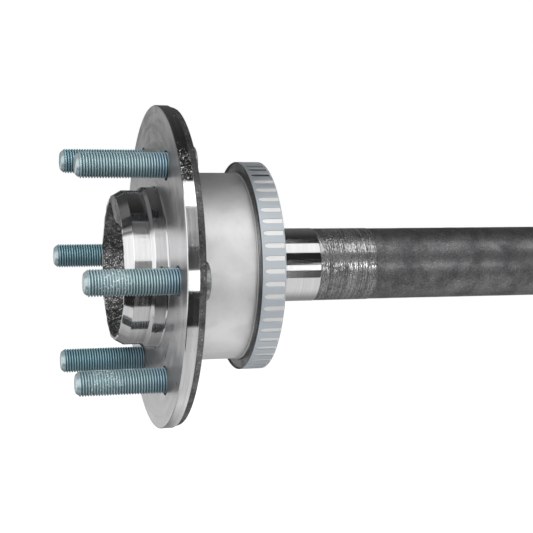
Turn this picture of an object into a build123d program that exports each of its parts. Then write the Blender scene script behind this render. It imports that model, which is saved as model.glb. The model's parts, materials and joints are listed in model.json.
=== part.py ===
from build123d import *
import math
import os

# A rear axle shaft of the semi-floating kind: one forging with a wheel flange, a pilot
# nose and a long splined shaft, six pressed-in wheel studs, and behind the flange a drawn
# steel sleeve that carries a windowed tone ring for the wheel-speed sensor.
#
# Frame: +X runs along the axle, inboard, from the studs to the splined end. +Z is up.
# The origin is the centre of the flange face that the wheel is clamped against.
# All sizes are in millimetres.

# Wheel flange
flange_r = 91.0            # turned rim
flange_rim_w = 6.35        # width of the turned rim band
flange_t = 10.1            # wheel face to the flat back
flange_back_r = 89.5       # the as-forged edge falls away from the rim to this radius

# Pilot nose
nose_len = 23.2            # wheel face to the mouth of the nose
nose_mouth_r = 40.5        # where the end chamfer meets the forged hollow
wheel_pilot_r = 43.3       # land that centres the wheel
wheel_pilot_w = 9.4
pilot_bevel_w = 1.7        # bevel between the two lands
disc_pilot_r = 45.1        # land that centres the brake disc
disc_pilot_w = 7.1
hollow_floor_r = 31.0
hollow_depth = 26.5
hollow_bevel = 3.0         # bevel between the wall of the hollow and its floor

# Wheel studs, M14 x 1.5
stud_circle = 135.0        # pitch circle diameter
stud_count = 6
stud_turn = 7.7            # clocking of the first stud, from +Y towards +Z, in degrees
stud_r = 7.0               # over the crests of the thread
stud_len = 48.9            # wheel face to the tip
stud_shoulder_r = 7.4      # shoulder pressed into the flange
stud_head_r = 10.2
stud_head_t = 5.6

# Sleeve behind the flange
sleeve_r = 53.3            # outside of the drawn wall
sleeve_wall = 2.0
seat_flare = 4.7           # the seat under the tone ring stands this far out of the wall
seat_recess = 1.1          # the seat starts this far behind the ring's front edge
seat_setback = 0.5         # and stops this far short of its back edge
boss_len = 13.5            # boss on the flange back that the sleeve is pressed on

# Tone ring
ring_start = 47.5          # wheel face to the ring's front edge
ring_w = 13.2
ring_wall = 1.55
window_count = 54
window_w = 2.6             # across the window, along the rim
front_rim_w = 1.9          # plain rim ahead of the windows
back_rim_w = 1.1           # plain rim behind them
window_turn = 4.4          # clocking of the windows, in degrees

# Shaft
boss_bevel = 4.0           # from the boss face down to the journal
journal_r = 21.25          # ground journal for the seal and the roller bearing
journal_end = 93.2         # wheel face to the end of the journal
bar_r = 21.0               # rough-turned, then as-forged bar
neck_taper = 18.0          # from the bar down to the roots of the teeth
overall = 880.0            # wheel face to the inboard end

# Spline, retaining groove and button at the inboard end
spline_teeth = 34
spline_pitch = 24.0        # teeth per inch of pitch diameter
spline_addendum = 0.53     # tooth height outside the pitch circle
spline_root_w = 0.18       # flat at the root of each gap
spline_len = 66.0
clip_groove_w = 5.2
clip_groove_r = 14.0
button_w = 6.5
button_drop = 0.4          # the button lies this far below the roots of the teeth

# Centre hole in the inboard end, left from turning between centres
centre_r = 4.0
centre_angle = 60.0

# Derived sizes
module = 25.4 / spline_pitch
spline_pitch_r = spline_teeth * module / 2
spline_half_gap = math.pi * module / 4
spline_major_r = spline_pitch_r + spline_addendum
spline_minor_r = spline_pitch_r - (spline_half_gap - spline_root_w / 2)
button_r = spline_minor_r - button_drop
button_start = overall - button_w
spline_end = button_start - clip_groove_w
spline_start = spline_end - spline_len
bar_end = spline_start - neck_taper
boss_r = sleeve_r - sleeve_wall
boss_end = flange_t + boss_len
bevel_end = -disc_pilot_w
bevel_start = bevel_end - pilot_bevel_w
wheel_pilot_end = bevel_start - wheel_pilot_w
hollow_floor = hollow_depth - nose_len
centre_depth = centre_r / math.tan(math.radians(centre_angle / 2))
seat_r = sleeve_r + seat_flare
ring_r = seat_r + ring_wall
ring_end = ring_start + ring_w
seat_start = ring_start + seat_recess
seat_end = ring_end - seat_setback
window_start = ring_start + front_rim_w
window_end = ring_end - back_rim_w
window_reach = 4 * ring_wall    # radial size of each cut, past both faces of the ring
stud_circle_r = stud_circle / 2
stud_tip = -stud_len
head_back = flange_t + stud_head_t

os.makedirs("parts", exist_ok=True)

# Axle shaft: one forging, turned from the nose to the inboard end
with BuildPart() as axle_shaft:
    with BuildSketch(Plane.XY):
        with BuildLine():
            Polyline(
                (-nose_len, 0),
                (-nose_len, nose_mouth_r),
                (wheel_pilot_end, wheel_pilot_r),
                (bevel_start, wheel_pilot_r),
                (bevel_end, disc_pilot_r),
                (0, disc_pilot_r),
                (0, flange_r),
                (flange_rim_w, flange_r),
                (flange_t, flange_back_r),
                (flange_t, boss_r),
                (boss_end, boss_r),
                (boss_end, journal_r + boss_bevel),
                (boss_end + boss_bevel, journal_r),
                (journal_end, journal_r),
                (journal_end, bar_r),
                (bar_end, bar_r),
                (spline_start, spline_minor_r),
                (spline_start, spline_major_r),
                (spline_end, spline_major_r),
                (spline_end, clip_groove_r),
                (button_start, clip_groove_r),
                (button_start, button_r),
                (overall, button_r),
                (overall, centre_r),
                (overall - centre_depth, 0),
                close=True,
            )
        make_face()
    revolve(axis=Axis.X)

    # Forged hollow inside the nose, tapered to a bevelled floor
    with BuildSketch(Plane.XY):
        with BuildLine():
            Polyline(
                (-nose_len, 0),
                (-nose_len, nose_mouth_r),
                (hollow_floor - hollow_bevel, hollow_floor_r),
                (hollow_floor, hollow_floor_r - hollow_bevel),
                (hollow_floor, 0),
                close=True,
            )
        make_face()
    revolve(axis=Axis.X, mode=Mode.SUBTRACT)

    # Stud holes
    with BuildSketch(Plane.YZ):
        with PolarLocations(stud_circle_r, stud_count, start_angle=stud_turn):
            Circle(stud_shoulder_r)
    extrude(amount=flange_t, mode=Mode.SUBTRACT)

    # Spline: the gaps between the teeth, with flanks at 45 degrees
    gap_reach = spline_major_r + spline_addendum
    gap_top = spline_half_gap + (gap_reach - spline_pitch_r)
    with BuildSketch(Plane.YZ.offset(spline_start)):
        with PolarLocations(0, spline_teeth):
            Polygon(
                (spline_minor_r, -spline_root_w / 2),
                (gap_reach, -gap_top),
                (gap_reach, gap_top),
                (spline_minor_r, spline_root_w / 2),
                align=None,
            )
    extrude(amount=spline_len, mode=Mode.SUBTRACT)

axle_shaft.part.label = "axle_shaft"
export_step(axle_shaft.part, "parts/axle_shaft.step")

# Wheel studs: a shank over the thread's crests, a pressed shoulder and a round head
for index in range(stud_count):
    turn = math.radians(stud_turn + index * 360 / stud_count)
    stud_axis = (0, stud_circle_r * math.cos(turn), stud_circle_r * math.sin(turn))
    with BuildPart() as wheel_stud:
        with BuildSketch(Plane(origin=stud_axis, x_dir=(1, 0, 0), z_dir=(0, 0, 1))):
            with BuildLine():
                Polyline(
                    (stud_tip, 0),
                    (stud_tip, stud_r),
                    (0, stud_r),
                    (0, stud_shoulder_r),
                    (flange_t, stud_shoulder_r),
                    (flange_t, stud_head_r),
                    (head_back, stud_head_r),
                    (head_back, 0),
                    close=True,
                )
            make_face()
        revolve(axis=Axis(stud_axis, (1, 0, 0)))
    stud_name = f"wheel_stud_{index + 1}"
    wheel_stud.part.label = stud_name
    export_step(wheel_stud.part, f"parts/{stud_name}.step")

# Sleeve: one drawn wall with a flared seat, open at the inboard end
with BuildPart() as sensor_sleeve:
    with BuildSketch(Plane.XY):
        with BuildLine():
            Polyline(
                (flange_t, boss_r),
                (flange_t, sleeve_r),
                (seat_start, sleeve_r),
                (seat_start, seat_r),
                (seat_end, seat_r),
                (seat_end, seat_r - sleeve_wall),
                (seat_start + sleeve_wall, seat_r - sleeve_wall),
                (seat_start + sleeve_wall, boss_r),
                close=True,
            )
        make_face()
    revolve(axis=Axis.X)

sensor_sleeve.part.label = "sensor_sleeve"
export_step(sensor_sleeve.part, "parts/sensor_sleeve.step")

# Tone ring: a band pressed on the sleeve's seat, with a window for each sensor pulse
with BuildPart() as tone_ring:
    with BuildSketch(Plane.XY):
        with BuildLine():
            Polyline(
                (ring_start, seat_r),
                (ring_start, ring_r),
                (ring_end, ring_r),
                (ring_end, seat_r),
                close=True,
            )
        make_face()
    revolve(axis=Axis.X)
    with BuildSketch(Plane.YZ.offset(window_start)):
        with PolarLocations(seat_r, window_count, start_angle=window_turn):
            Rectangle(window_reach, window_w)
    extrude(amount=window_end - window_start, mode=Mode.SUBTRACT)

tone_ring.part.label = "tone_ring"
export_step(tone_ring.part, "parts/tone_ring.step")
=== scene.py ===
"""Looks of a rear axle shaft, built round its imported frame.

The forging, its wheel studs, the sensor sleeve and the tone ring are modelled as smooth
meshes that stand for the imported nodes. Sizes in the classes are millimetres, as on a
drawing, and become metres where a mesh is made. The axle lies along the X axis.
"""
import json
import logging
import math
from collections.abc import Callable
from dataclasses import dataclass, field
from enum import Enum
from functools import reduce

import bpy
from mathutils import Matrix, Vector

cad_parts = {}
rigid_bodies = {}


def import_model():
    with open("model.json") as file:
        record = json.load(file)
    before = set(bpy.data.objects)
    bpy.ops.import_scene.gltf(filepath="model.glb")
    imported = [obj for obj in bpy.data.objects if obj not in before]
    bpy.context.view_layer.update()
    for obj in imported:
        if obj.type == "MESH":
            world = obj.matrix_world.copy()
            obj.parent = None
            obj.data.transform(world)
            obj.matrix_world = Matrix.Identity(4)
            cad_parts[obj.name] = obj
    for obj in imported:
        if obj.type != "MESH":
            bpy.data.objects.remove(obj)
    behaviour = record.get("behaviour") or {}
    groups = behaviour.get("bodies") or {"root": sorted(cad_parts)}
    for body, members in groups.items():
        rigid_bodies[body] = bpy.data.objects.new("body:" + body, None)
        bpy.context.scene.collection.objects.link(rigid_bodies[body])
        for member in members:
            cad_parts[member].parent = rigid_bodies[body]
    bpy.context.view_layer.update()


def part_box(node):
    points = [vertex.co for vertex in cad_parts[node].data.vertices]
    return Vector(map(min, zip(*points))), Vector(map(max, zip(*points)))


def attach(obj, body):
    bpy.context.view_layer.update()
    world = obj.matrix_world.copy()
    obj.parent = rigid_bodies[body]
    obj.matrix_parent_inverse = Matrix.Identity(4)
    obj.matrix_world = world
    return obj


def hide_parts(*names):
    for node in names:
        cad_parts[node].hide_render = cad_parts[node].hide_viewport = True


MM = 0.001
BODY = "root"
CUT_PAST = 1.0       # how far a cutter reaches past what it cuts, in millimetres
MERGE_GAP = 0.001    # points closer than this are one, in millimetres
log = logging.getLogger("axle_shaft")

Piece = bpy.types.Object
Material = bpy.types.Material
Tree = bpy.types.NodeTree
Node = bpy.types.Node
Socket = bpy.types.NodeSocket
Sockets = bpy.types.NodeOutputs
Colour = tuple[float, float, float]
Range = tuple[float, ...]                         # from and to, and what those ends become
Limits = tuple[tuple[str | float, ...], ...]      # each a way, and then a range on it


class Grain(Enum):
    """Which way the cutting tool travelled, so which coordinate its marks follow."""

    ALONG_AXLE = 0.0
    ACROSS_FACE = 1.0


class StudMark(Enum):
    """What each point of a stud stores for its coating."""

    CREST = "crest"
    # painted shade: how far a point lies on the stud's lower side, which the coating darkens
    UNDERSIDE = "underside"


class Surface(Enum):
    """The surfaces that have a finish of their own."""

    LANDS = "machined lands of the nose and the spline"
    WHEEL_FACE = "face that the wheel is clamped against"
    RIM = "turned rim of the flange"
    JOURNAL = "ground journal"
    SKIN = "forged skin"
    HOLLOW = "forged hollow of the nose"
    ROUGH_TURNED = "rough-turned stretch"
    BAR = "forged bar"
    THREAD = "coated thread"
    HEAD = "stud head"
    SLEEVE = "drawn sleeve"
    SEAT = "seat under the tone ring"
    # painted shade: the bead and the step up to the seat are coloured dark
    THROAT = "step up to the seat"
    BAND = "tone ring"
    # painted shade: the ring's front edge is coloured near black
    BAND_EDGE = "front edge of the tone ring"


# Modelling helpers


def select_only(piece: Piece) -> None:
    """Leave edit mode and make one object the only selected and active one.

    Args:
        piece: The object that the next operators work on.
    """
    if bpy.context.object is not None and bpy.context.object.mode != "OBJECT":
        bpy.ops.object.mode_set(mode="OBJECT")
    bpy.ops.object.select_all(action="DESELECT")
    piece.select_set(True)
    bpy.context.view_layer.objects.active = piece


def apply_modifier(piece: Piece, kind: str, **settings: object) -> None:
    """Add one modifier to a piece and apply it at once.

    Args:
        piece: The object that is shaped.
        kind: The modifier's type, such as BOOLEAN.
        settings: Values for the modifier's properties.
    """
    select_only(piece)
    modifier = piece.modifiers.new(kind.lower(), kind)
    for name, value in settings.items():
        setattr(modifier, name, value)
    bpy.ops.object.modifier_apply(modifier=modifier.name)


def combine(piece: Piece, tool: Piece, operation: str) -> None:
    """Cut, join or intersect a piece with a second solid, which is used up.

    Args:
        piece: The solid that stays.
        tool: The solid that cuts it or joins it.
        operation: DIFFERENCE, UNION or INTERSECT.
    """
    apply_modifier(piece, "BOOLEAN", operation=operation, object=tool, solver="EXACT")
    bpy.data.objects.remove(tool, do_unlink=True)


def smooth(piece: Piece, degrees: float = 32.0) -> None:
    """Shade a piece smooth, with edges sharper than the angle kept crisp.

    Args:
        piece: The finished mesh.
        degrees: Edges that turn by more than this stay crisp.
    """
    select_only(piece)
    bpy.ops.object.shade_smooth_by_angle(angle=math.radians(degrees))
    apply_modifier(piece, "WEIGHTED_NORMAL", keep_sharp=True, weight=80)


def place_copy(source: Piece, name: str, place: Matrix) -> Piece:
    """Copy a piece with a mesh of its own, and bake its place into that mesh.

    Args:
        source: The piece that was modelled once.
        name: Name of the copy.
        place: Where the copy goes.

    Returns:
        The copy, whose object sits at the origin.
    """
    copy = source.copy()
    copy.data = source.data.copy()
    copy.name = name
    copy.data.name = name
    copy.data.transform(place)
    bpy.context.scene.collection.objects.link(copy)
    return copy


def station(point: Vector) -> tuple[float, float]:
    """Return a point's place along the axle and its radius, in millimetres."""
    return point.x / MM, math.hypot(point.y, point.z) / MM


def extent(node: str) -> tuple[float, float, float]:
    """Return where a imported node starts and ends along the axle, and its top, in millimetres."""
    low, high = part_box(node)
    return low.x / MM, high.x / MM, high.z / MM


def store(piece: Piece, mark: StudMark, share_at: Callable[[Vector], float]) -> None:
    """Store a share from 0 to 1 on each point of a piece, for its material to read.

    Args:
        piece: The piece.
        mark: What the share is kept as.
        share_at: Gives the share at a point, and is held between 0 and 1.
    """
    values = piece.data.attributes.new(mark.value, "FLOAT", "POINT").data
    for vertex in piece.data.vertices:
        values[vertex.index].value = min(max(share_at(vertex.co), 0.0), 1.0)


@dataclass
class Outline:
    """Half the section of a turned piece: its corners, in order, with their rounds."""

    corners: list[tuple[float, float, float, float]] = field(default_factory=list)
    arc_steps: int = 4

    def to(self, x: float, r: float, edge: float = 0.0, step: float = 0.0) -> "Outline":
        """Add a corner.

        Args:
            x: Place along the axle, in millimetres.
            r: Radius there, in millimetres.
            edge: How far the rounding reaches from the corner.
            step: Longest stretch on the way to this corner, or 0 for one stretch.

        Returns:
            The outline itself, so that corners can be chained.
        """
        self.corners.append((x, r, edge, step))
        return self

    def points(self) -> list[Vector]:
        """Work out the outline's points, with each rounded corner as a short curve.

        Returns:
            The points in order, as (x, 0, r) in millimetres.
        """
        found: list[Vector] = []
        places = [Vector((x, 0, r)) for x, r, _, _ in self.corners]
        shares = [k / self.arc_steps for k in range(self.arc_steps + 1)]
        for index, (_, _, edge, step) in enumerate(self.corners):
            corner = places[index]
            ends = [corner]
            if edge and 0 < index < len(places) - 1:
                start = corner + (places[index - 1] - corner).normalized() * edge
                end = corner + (places[index + 1] - corner).normalized() * edge
                ends = [start.lerp(corner, s).lerp(corner.lerp(end, s), s) for s in shares]
            if step and found:
                start = found[-1]
                count = math.ceil((ends[0] - start).length / step)
                found += [start.lerp(ends[0], k / count) for k in range(1, count)]
            found += ends
        return found


def draw_line(name: str, points: list[Vector]) -> Piece:
    """Draw a chain of edges by extruding one vertex from point to point.

    Args:
        name: Name of the new object.
        points: The chain's points, in millimetres.

    Returns:
        The object, left in edit mode with the whole chain selected.
    """
    bpy.ops.object.select_all(action="DESELECT")
    bpy.ops.mesh.primitive_plane_add(size=MM, location=(0, 0, 0))
    piece = bpy.context.object
    piece.name = name
    piece.data.name = name
    bpy.ops.object.mode_set(mode="EDIT")
    bpy.ops.mesh.merge(type="CENTER")
    bpy.ops.transform.translate(value=points[0] * MM)
    for start, end in zip(points, points[1:]):
        move = {"value": (end - start) * MM}
        bpy.ops.mesh.extrude_vertices_move(TRANSFORM_OT_translate=move)
    bpy.ops.mesh.select_all(action="SELECT")
    return piece


def spin_round(steps: int) -> None:
    """Spin the selected line once round the axle's axis, and close its seam and poles.

    Args:
        steps: Facets round the axis.
    """
    bpy.ops.mesh.spin(steps=steps, angle=2 * math.pi, center=(0, 0, 0), axis=(1, 0, 0))
    bpy.ops.mesh.select_all(action="SELECT")
    bpy.ops.mesh.remove_doubles(threshold=MERGE_GAP * MM)
    bpy.ops.mesh.normals_make_consistent(inside=False)


def lathe(name: str, outline: Outline, steps: int) -> Piece:
    """Turn an outline about the axle's axis into a closed skin.

    Args:
        name: Name of the new object.
        outline: Half the section.
        steps: Facets round the axis.

    Returns:
        The turned piece.
    """
    piece = draw_line(name, outline.points())
    spin_round(steps)
    bpy.ops.object.mode_set(mode="OBJECT")
    return piece


# Shader helpers


class Wiring:
    """Adds nodes to one tree and joins their sockets."""

    def __init__(self, tree: Tree) -> None:
        """Keep the tree that the nodes go into.

        Args:
            tree: The node tree of a material, a world or a group.
        """
        self.tree = tree

    def feed(self, node: Node, inputs: dict) -> None:
        """Set or link a node's inputs.

        Args:
            node: The node.
            inputs: Socket name or index to a value, or to the output that feeds it.
        """
        for key, value in inputs.items():
            if isinstance(value, Socket):
                self.tree.links.new(value, node.inputs[key])
            else:
                node.inputs[key].default_value = value

    def node(self, kind: str, inputs: dict | None = None, **settings: object) -> Node:
        """Add a node.

        Args:
            kind: The node's type, without the word ShaderNode in front.
            inputs: Socket name or index to a value, or to the output that feeds it.
            settings: Values for the node's own properties.

        Returns:
            The new node.
        """
        made = self.tree.nodes.new(f"ShaderNode{kind}")
        for name, value in settings.items():
            setattr(made, name, value)
        self.feed(made, inputs or {})
        return made

    def math(self, operation: str, *values: object) -> Socket:
        """Add a Math node and return its value."""
        return self.node("Math", dict(enumerate(values)), operation=operation).outputs[0]

    def chain(self, operation: str, *values: object) -> Socket:
        """Join values by one Math operation after another, and return the last result."""
        return reduce(lambda total, value: self.math(operation, total, value), values)

    def times(self, *values: object) -> Socket:
        """Multiply values, from the first to the last."""
        return self.chain("MULTIPLY", *values)

    def plus(self, *values: object) -> Socket:
        """Add values, from the first to the last."""
        return self.chain("ADD", *values)

    def fit(self, value: Socket, low: object, high: object, to_low: float = 0.0,
            to_high: float = 1.0) -> Socket:
        """Map a range of values onto another by a smooth step, held at both ends.

        Args:
            value: The value that is mapped.
            low: Where the range starts.
            high: Where it ends.
            to_low: What the start becomes.
            to_high: What the end becomes.

        Returns:
            The mapped value.
        """
        inputs = {"Value": value, "From Min": low, "From Max": high, "To Min": to_low,
                  "To Max": to_high}
        return self.node("MapRange", inputs, interpolation_type="SMOOTHSTEP").outputs["Result"]

    def run(self, share: Socket, start: float, end: float) -> Socket:
        """Go from one number to another as a share goes from 0 to 1."""
        return self.fit(share, 0.0, 1.0, start, end)

    def between(self, value: Socket, low: float, high: float, fade: float,
                fade_out: float | None = None) -> Socket:
        """Mark where a value lies between two others.

        Args:
            value: The value.
            low: The lower end of the stretch.
            high: Its upper end.
            fade: Half the width of the soft edge at the lower end.
            fade_out: The same at the upper end, where it differs.

        Returns:
            1 inside and 0 outside.
        """
        last = fade if fade_out is None else fade_out
        return self.times(self.fit(value, low - fade, low + fade),
                          self.fit(value, high + last, high - last))

    def blend(self, share: object, first: Colour | Socket, second: Colour | Socket) -> Socket:
        """Mix two colours by a share.

        Args:
            share: 0 for the first colour, 1 for the second.
            first: A colour, or the output that gives one.
            second: The same.

        Returns:
            The mixed colour.
        """
        colours = [c if isinstance(c, Socket) else (*c, 1.0) for c in (first, second)]
        inputs = {"Factor": share, 6: colours[0], 7: colours[1]}
        return self.node("Mix", inputs, data_type="RGBA").outputs[2]

    def noise(self, vector: Socket, scale: object, detail: float = 3.0, rough: float = 0.55,
              distortion: float = 0.0) -> Socket:
        """Add a noise texture and return its value."""
        inputs = {"Vector": vector, "Scale": scale, "Detail": detail, "Roughness": rough,
                  "Distortion": distortion}
        return self.node("TexNoise", inputs).outputs["Fac"]

    def flecks(self, fineness: Socket, rarity: Socket) -> Socket:
        """Scatter small round flecks over the surface.

        Args:
            fineness: How many cells lie side by side on a metre.
            rarity: The share of the cells that stay empty.

        Returns:
            1 in the middle of the strongest flecks and 0 between them.
        """
        cell = self.node("TexVoronoi", {"Vector": self.place(), "Scale": fineness}).outputs
        lot = self.node("SeparateColor", {0: cell["Color"]}).outputs[0]
        return self.times(self.fit(lot, rarity, 0.95), self.fit(cell["Distance"], 0.5, 0.15))

    def stretch(self, vector: Socket, scale: tuple[float, float, float]) -> Socket:
        """Scale a vector by a different amount on each axis."""
        return self.node("Mapping", {"Vector": vector, "Scale": scale}).outputs["Vector"]

    def add_vectors(self, first: Socket, second: Socket) -> Socket:
        """Add two vectors."""
        return self.node("VectorMath", {0: first, 1: second}, operation="ADD").outputs[0]

    def place(self) -> Socket:
        """Return the point's own place on the piece, in metres."""
        return self.node("TexCoord").outputs["Object"]

    def axes(self, vector: Socket) -> Sockets:
        """Split a vector into its X, Y and Z."""
        return self.node("SeparateXYZ", {0: vector}).outputs

    def height(self) -> Socket:
        """Return how high the point lies above the axle's axis, in metres."""
        return self.axes(self.place())[2]

    def group(self, tree: Tree, **values: float) -> Sockets:
        """Place a shared group.

        Args:
            tree: The group.
            values: Its inputs, with underscores for the spaces in their names.

        Returns:
            The outputs of the placed group.
        """
        inputs = {name.replace("_", " ").title(): value for name, value in values.items()}
        return self.node("Group", inputs, node_tree=tree).outputs

    def bump(self, height: Socket, depth: float) -> Socket:
        """Turn a height from 0 to 1 into a normal, for a depth in millimetres."""
        return self.node("Bump", {"Height": height, "Distance": depth * MM}).outputs["Normal"]


def grey(value: float) -> Colour:
    """Return a colour with no hue."""
    return (value, value, value)


def new_group(name: str, inputs: dict[str, float],
              outputs: list[str]) -> tuple[Wiring, Sockets, Node]:
    """Make an empty shader node group with number sockets.

    Args:
        name: Name of the group.
        inputs: Each input's name and its usual value.
        outputs: Names of the outputs.

    Returns:
        The group's wiring, what it is given, and the node that its results go to.
    """
    tree = bpy.data.node_groups.new(name, "ShaderNodeTree")
    for label, value in inputs.items():
        made = tree.interface.new_socket(label, in_out="INPUT", socket_type="NodeSocketFloat")
        made.default_value = value
    for label in outputs:
        tree.interface.new_socket(label, in_out="OUTPUT", socket_type="NodeSocketFloat")
    given = tree.nodes.new("NodeGroupInput").outputs
    return Wiring(tree), given, tree.nodes.new("NodeGroupOutput")


class Effects:
    """The shader groups that more than one finish uses, each built once."""

    def __init__(self) -> None:
        """Build all the groups."""
        self.tool_marks = self._tool_marks()
        self.forge_scale = self._forge_scale()
        self.smudges = self._smudges()
        self.nicks = self._nicks()

    def _tool_marks(self) -> Tree:
        """Fine rings left by a turning tool, with broader streaks among them.

        Returns:
            The group, with outputs Height and Streaks.
        """
        inputs = {"Per Millimetre": 4.0, "Across Face": 0.0}
        wires, given, out = new_group("tool marks", inputs, ["Height", "Streaks"])
        x, y, z = wires.axes(wires.place())
        radius = wires.math("SQRT", wires.plus(wires.times(y, y), wires.times(z, z)))
        gap = wires.math("SUBTRACT", radius, x)
        reach = wires.math("MULTIPLY_ADD", gap, given["Across Face"], x)
        count = wires.times(reach, wires.math("DIVIDE", given["Per Millimetre"], MM))
        fine = wires.node("CombineXYZ", {0: count}).outputs[0]
        broad = wires.stretch(fine, (0.16, 1, 1))                 # the same rings, made broader
        drift = wires.stretch(wires.place(), (0.0, 18.0, 18.0))   # how they change round the axis
        wires.feed(out, {
            "Height": wires.noise(wires.add_vectors(fine, drift), 1.0, 2.0, 0.6),
            "Streaks": wires.noise(wires.add_vectors(broad, drift), 1.0, 3.0, 0.6)})
        return wires.tree

    def _forge_scale(self) -> Tree:
        """Blotches, grain and bright specks of a hot-forged skin.

        Returns:
            The group, with outputs Tone, Specks and Height.
        """
        inputs = {"Blotch": 90.0, "Grain": 900.0, "Speck Rarity": 0.62}
        wires, given, out = new_group("forge scale", inputs, ["Tone", "Specks", "Height"])
        blotch = wires.noise(wires.place(), given["Blotch"], 5.0, 0.6)
        grain = wires.noise(wires.place(), given["Grain"], 3.0, 0.7)
        tone = wires.plus(wires.times(blotch, 0.55), wires.times(grain, 0.45))
        flecks = wires.flecks(given["Grain"], given["Speck Rarity"])
        wires.feed(out, {
            "Tone": wires.fit(tone, 0.34, 0.66),
            "Specks": wires.times(flecks, wires.fit(blotch, 0.4, 0.58)),
            "Height": wires.plus(grain, wires.times(blotch, 1.6))})
        return wires.tree

    def _smudges(self) -> Tree:
        """Broad faint patches left by handling and oil.

        Returns:
            The group, with output Patches.
        """
        wires, given, out = new_group("smudges", {"Size": 60.0}, ["Patches"])
        patch = wires.noise(wires.place(), given["Size"], 4.0, 0.6, distortion=0.6)
        wires.feed(out, {"Patches": wires.fit(patch, 0.35, 0.7)})
        return wires.tree

    def _nicks(self) -> Tree:
        """Scattered small bright nicks and rubbed spots, in loose drifts.

        Returns:
            The group, with output Nicks.
        """
        inputs = {"Fineness": 1400.0, "Drift": 120.0, "Rarity": 0.72, "Spread": 0.45}
        wires, given, out = new_group("nicks", inputs, ["Nicks"])
        drift = wires.noise(wires.place(), given["Drift"], 3.0, 0.5)
        flecks = wires.flecks(given["Fineness"], given["Rarity"])
        wires.feed(out, {"Nicks": wires.times(flecks, wires.fit(drift, given["Spread"], 0.7))})
        return wires.tree


# Finishes


@dataclass(frozen=True)
class Rubs:
    """Close-set rubbed spots, as one finish has them."""

    fineness: float
    drift: float
    rarity: float
    strength: float
    spread: float = 0.2

    def spots(self, wires: Wiring, effects: Effects) -> Socket:
        """Scatter the spots.

        Args:
            wires: The material's wiring.
            effects: The shared shader groups.

        Returns:
            How bright each spot is.
        """
        nicks = wires.group(effects.nicks, fineness=self.fineness, drift=self.drift,
                            rarity=self.rarity, spread=self.spread)
        return wires.times(nicks["Nicks"], self.strength)


def new_material(name: str) -> tuple[Material, Wiring, Node]:
    """Make a material with a Principled shader in it.

    Args:
        name: Name of the material.

    Returns:
        The material, its wiring and its shader.
    """
    material = bpy.data.materials.new(name)
    material.use_nodes = True
    shader = material.node_tree.nodes["Principled BSDF"]
    return material, Wiring(material.node_tree), shader


@dataclass(frozen=True)
class TurnedSteel:
    """Bright steel off a lathe or a grinder, with rings of tool marks."""

    name: str
    tone: Colour = (0.56, 0.56, 0.565)
    worn_tone: Colour = (0.44, 0.44, 0.445)
    roughness: float = 0.15
    roughness_spread: float = 0.12
    marks_per_mm: float = 5.0
    mark_depth: float = 0.001
    grain: Grain = Grain.ALONG_AXLE
    smudge_size: float = 55.0
    nick_tone: Colour = grey(0.85)
    nick_share: float = 0.35
    nick_roughness: float = 0.4
    nick_metallic: float = 0.3
    scuffs: tuple[tuple[float, float], ...] = ()    # heights that are scuffed, from and to
    scuff_fade: float = 4.0
    rubs: Rubs = Rubs(fineness=1050.0, drift=270.0, rarity=0.15, strength=1.15)

    def build(self, effects: Effects) -> Material:
        """Build the material.

        Args:
            effects: The shared shader groups.

        Returns:
            The finished material.
        """
        material, wires, shader = new_material(self.name)
        marks = wires.group(effects.tool_marks, per_millimetre=self.marks_per_mm,
                            across_face=self.grain.value)
        patches = wires.group(effects.smudges, size=self.smudge_size)["Patches"]
        streaks = wires.fit(marks["Streaks"], 0.3, 0.7)
        nicks = wires.times(wires.group(effects.nicks)["Nicks"], self.nick_share)
        for low, high in self.scuffs:
            height = wires.math("DIVIDE", wires.height(), MM)
            band = wires.between(height, low, high, self.scuff_fade)
            nicks = wires.math("MAXIMUM", nicks, wires.times(band, self.rubs.spots(wires, effects)))
        colour = wires.blend(streaks, self.worn_tone, self.tone)
        rough = wires.times(wires.plus(patches, streaks), self.roughness_spread / 2)
        rough = wires.plus(rough, self.roughness, wires.times(nicks, self.nick_roughness))
        wires.feed(shader, {
            "Base Color": wires.blend(nicks, colour, self.nick_tone),
            "Metallic": wires.run(nicks, 1.0, self.nick_metallic),
            "Roughness": rough,
            "Normal": wires.bump(marks["Height"], self.mark_depth)})
        return material


@dataclass(frozen=True)
class ForgedSteel:
    """Dark steel with its forging skin, blotched and specked."""

    name: str
    dark: Colour = (0.05, 0.05, 0.052)
    light: Colour = (0.2, 0.2, 0.205)
    speck: Colour = grey(0.6)
    metallic: float = 0.85
    speck_metallic: float = 0.2
    roughness: float = 0.42
    dark_dullness: float = 0.12
    light_polish: float = 0.08
    blotch: float = 90.0
    grain: float = 900.0
    depth: float = 0.06
    speck_share: float = 0.6
    speck_rarity: float = 0.62
    shaded_top_speck_share: float = 1.0     # painted shade: of the bright specks, how many are left at the top, where less light falls
    shade_start_z: float = 8.0         # painted shade: the specks begin to thin out at this height
    shade_full_z: float = 30.0

    def build(self, effects: Effects) -> Material:
        """Build the material.

        Args:
            effects: The shared shader groups.

        Returns:
            The finished material.
        """
        material, wires, shader = new_material(self.name)
        scale = wires.group(effects.forge_scale, blotch=self.blotch, grain=self.grain,
                            speck_rarity=self.speck_rarity)
        # painted shade: fewer bright specks higher up
        share = wires.fit(wires.height(), self.shade_start_z * MM, self.shade_full_z * MM, self.speck_share,
                          self.speck_share * self.shaded_top_speck_share)
        specks = wires.times(scale["Specks"], share)
        base = wires.blend(scale["Tone"], self.dark, self.light)
        wires.feed(shader, {
            "Base Color": wires.blend(specks, base, self.speck),
            "Metallic": wires.run(specks, self.metallic, self.speck_metallic),
            "Roughness": wires.run(scale["Tone"], self.roughness + self.dark_dullness,
                                   self.roughness - self.light_polish),
            "Normal": wires.bump(scale["Height"], self.depth)})
        return material


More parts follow.
